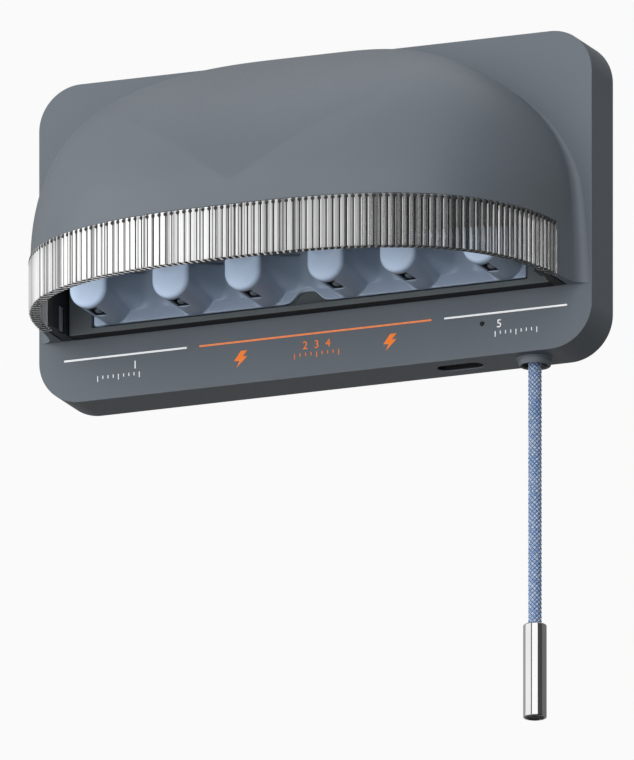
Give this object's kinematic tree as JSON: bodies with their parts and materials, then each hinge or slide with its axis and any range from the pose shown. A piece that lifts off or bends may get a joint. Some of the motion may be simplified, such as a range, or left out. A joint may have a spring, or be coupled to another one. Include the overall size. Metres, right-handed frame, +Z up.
{
  "type": "wall-mounted toothbrush steriliser",
  "caption": "Wall-hung ultraviolet toothbrush steriliser: rounded slab, domed hood with clear fluted rim, tray of pegs that hold brushes, pull cord switch.",
  "frame": {"origin": "on the wall, at the back face of the adhesive pad, level with the middle of the housing", "axes": "+Y into the wall, so the object stands out along -Y; +X to the right for someone facing it; +Z up"},
  "size_m": [0.226, 0.1069, 0.2656],
  "materials": {
    "shell_grey": "fine satin moulded plastic",
    "dark_plastic": "black moulded plastic",
    "clear_acrylic": "polished clear acrylic, fluted",
    "tray_blue": "soft satin pale blue plastic",
    "cord_blue": "braided blue and white yarn",
    "polished_steel": "polished stainless steel",
    "zinc_steel": "zinc plated steel",
    "circuit_board": "green solder mask",
    "quartz": "clear quartz",
    "polished_aluminium": "polished reflector",
    "lamp_ceramic": "ceramic lamp package",
    "cell_wrap": "foil pouch",
    "foam": "closed-cell foam",
    "rubber": "soft rubber",
    "white_nylon": "white plastic",
    "orange": "orange plastic"
  },
  "bodies": {
    "wall_side": {"wall_plate": "zinc_steel", "adhesive_pad": "foam", "wall_stud_left": "zinc_steel", "wall_stud_right": "zinc_steel"},
    "tray": {"holder_tray": "tray_blue", "peg_lens_1": "dark_plastic", "peg_lens_2": "dark_plastic", "peg_lens_3": "dark_plastic", "peg_lens_4": "dark_plastic", "peg_lens_5": "dark_plastic", "peg_lens_6": "dark_plastic"},
    "pull": {"cord_slider": "white_nylon", "cord_ferrule": "zinc_steel", "cord_inner_end": "cord_blue"},
    "cord": {"pull_cord": "cord_blue", "pull_handle": "polished_steel", "handle_cap": "dark_plastic"},
    "plunger": {"switch_plunger": "white_nylon"},
    "unit": {"front_housing": "shell_grey", "rear_cover": "shell_grey", "hood_shell": "shell_grey", "fluted_ring": "clear_acrylic", "battery_foam_pad": "foam", "battery_lead": "orange", "battery_pack": "cell_wrap", "board_screw_1": "zinc_steel", "board_screw_2": "zinc_steel", "cord_grommet": "shell_grey", "cover_screw_1": "zinc_steel", "cover_screw_2": "zinc_steel", "cover_screw_3": "zinc_steel", "cover_screw_4": "zinc_steel", "frame_screw_1": "zinc_steel", "frame_screw_2": "zinc_steel", "guide_cap": "dark_plastic", "hood_screw_1": "zinc_steel", "hood_screw_2": "zinc_steel", "hood_screw_3": "zinc_steel", "hood_screw_4": "zinc_steel", "indicator_led": "lamp_ceramic", "indicator_light_pipe": "clear_acrylic", "main_board": "circuit_board", "micro_switch": "dark_plastic", "return_spring": "zinc_steel", "ring_bracket_left": "dark_plastic", "ring_bracket_right": "dark_plastic", "slider_guide": "dark_plastic", "tray_frame": "shell_grey", "usb_socket": "zinc_steel", "uv_board_lead": "orange", "uv_led_1": "lamp_ceramic", "uv_led_2": "lamp_ceramic", "uv_led_3": "lamp_ceramic", "uv_led_board": "circuit_board", "uv_reflector": "polished_aluminium", "uv_window": "quartz", "wall_bumper_left": "rubber", "wall_bumper_right": "rubber"}
  },
  "joints": [
    {"name": "lift_off", "type": "slide", "parent": "wall_side", "child": "unit", "axis": [0, 0, 1], "range_m": [0, 0.01]},
    {"name": "tray_tilt", "type": "hinge", "parent": "unit", "child": "tray", "pos_m": [0, -0.0245, -0.0162], "axis": [-1, 0, 0], "range_deg": [0, 20]},
    {"name": "cord_pull", "type": "slide", "parent": "unit", "child": "pull", "axis": [0, 0, -1], "range_m": [0, 0.008], "stiffness_N_per_m": 150, "springref_m": -0.008, "deforming": ["return_spring"]},
    {"name": "cord_swing", "type": "hinge", "parent": "pull", "child": "cord", "pos_m": [0.0854, -0.01095, -0.0654], "axis": [0, 1, 0], "range_deg": [-20, 20]},
    {"name": "switch_press", "type": "slide", "parent": "unit", "child": "plunger", "axis": [-1, 0, 0], "range_m": [0, 0.001]}
  ],
  "couplings": [
    {"joint": "switch_press", "follows": "cord_pull", "ratio": 0.1}
  ]
}
